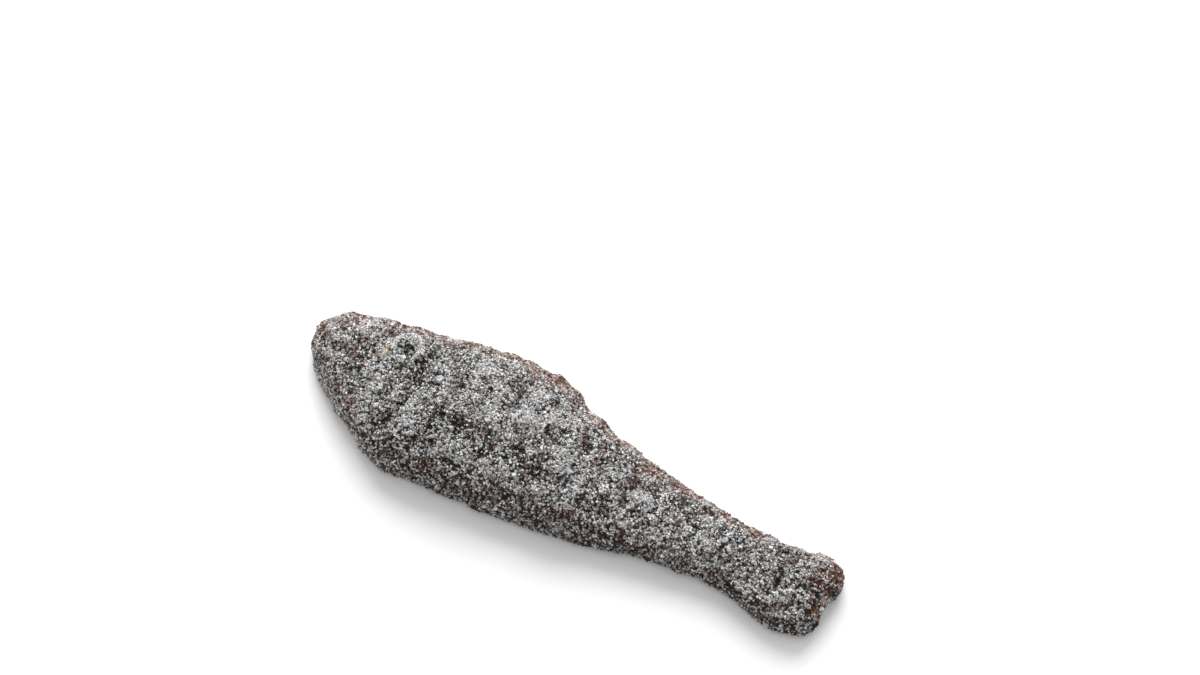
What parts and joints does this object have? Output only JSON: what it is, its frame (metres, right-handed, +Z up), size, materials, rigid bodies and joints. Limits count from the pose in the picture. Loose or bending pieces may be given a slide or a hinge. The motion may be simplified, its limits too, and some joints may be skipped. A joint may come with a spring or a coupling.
{
  "type": "salted liquorice fish sweet",
  "caption": "Chewy liquorice sweet cast as a herring, with a flat underside, a low back fin, faint eye, gill, scale and tail relief, and a rough crust of salt crystals all over.",
  "frame": {"origin": "on the flat underside, below the middle of the bounding box", "axes": "+X from the nose to the tail, +Y from the belly to the back fin, +Z up from the flat underside"},
  "size_m": [0.07, 0.0208, 0.0077],
  "materials": {
    "salted_liquorice": "near-black chewy liquorice, reddish brown where it is thin, under a dense crust of fine translucent grey and white crystals"
  },
  "bodies": {
    "root": {"liquorice_fish": "salted_liquorice"}
  },
  "joints": []
}
